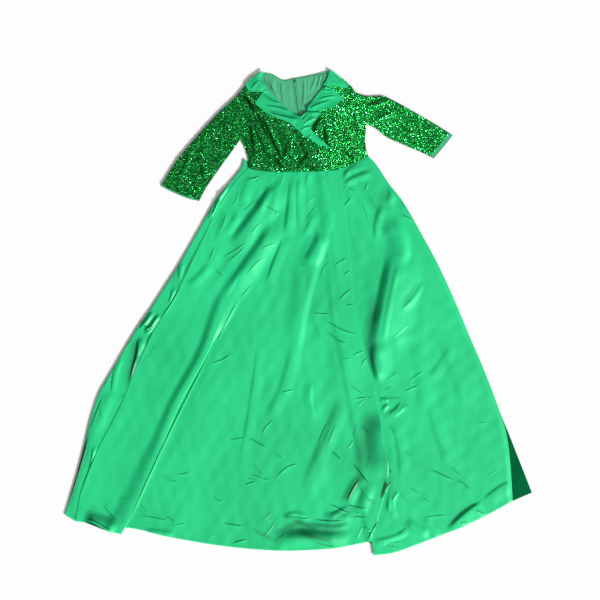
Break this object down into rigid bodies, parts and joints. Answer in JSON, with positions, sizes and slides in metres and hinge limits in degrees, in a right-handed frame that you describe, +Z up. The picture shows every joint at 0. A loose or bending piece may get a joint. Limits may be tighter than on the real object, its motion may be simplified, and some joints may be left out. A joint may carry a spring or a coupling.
{
  "type": "sequin wrap gown laid flat",
  "caption": "Long green wrap gown laid flat on its back: sequin bodice with three-quarter sleeves, notched satin collar with lapels, and a full satin skirt lapped over at the front.",
  "frame": {"origin": "middle of the laid gown's outline, on the surface that it lies on", "axes": "+X towards the wearer's left, +Y from hem towards the shoulders, +Z up out of the gown's front"},
  "size_m": [1.4477, 1.502, 0.0186],
  "materials": {
    "satin": "glossy green duchess satin",
    "sequin_cloth": "green net covered with small round sequins",
    "lining": "matte green lining",
    "zip_tape": "woven polyester tape with a coil",
    "zip_metal": "green lacquered slider"
  },
  "bodies": {
    "root": {"skirt_back_right": "satin", "skirt_back_left": "satin", "skirt_front_left": "satin", "skirt_front_right": "satin", "bodice_back_right": "sequin_cloth", "bodice_back_left": "sequin_cloth", "lining_back_right": "lining", "lining_back_left": "lining", "back_zip": "zip_tape", "zip_slider": "zip_metal", "bodice_front_left": "sequin_cloth", "bodice_front_right": "sequin_cloth", "sleeve_right": "sequin_cloth", "sleeve_left": "sequin_cloth", "lapel_left": "satin", "lapel_right": "satin", "collar_right": "satin", "collar_left": "satin"}
  },
  "joints": []
}
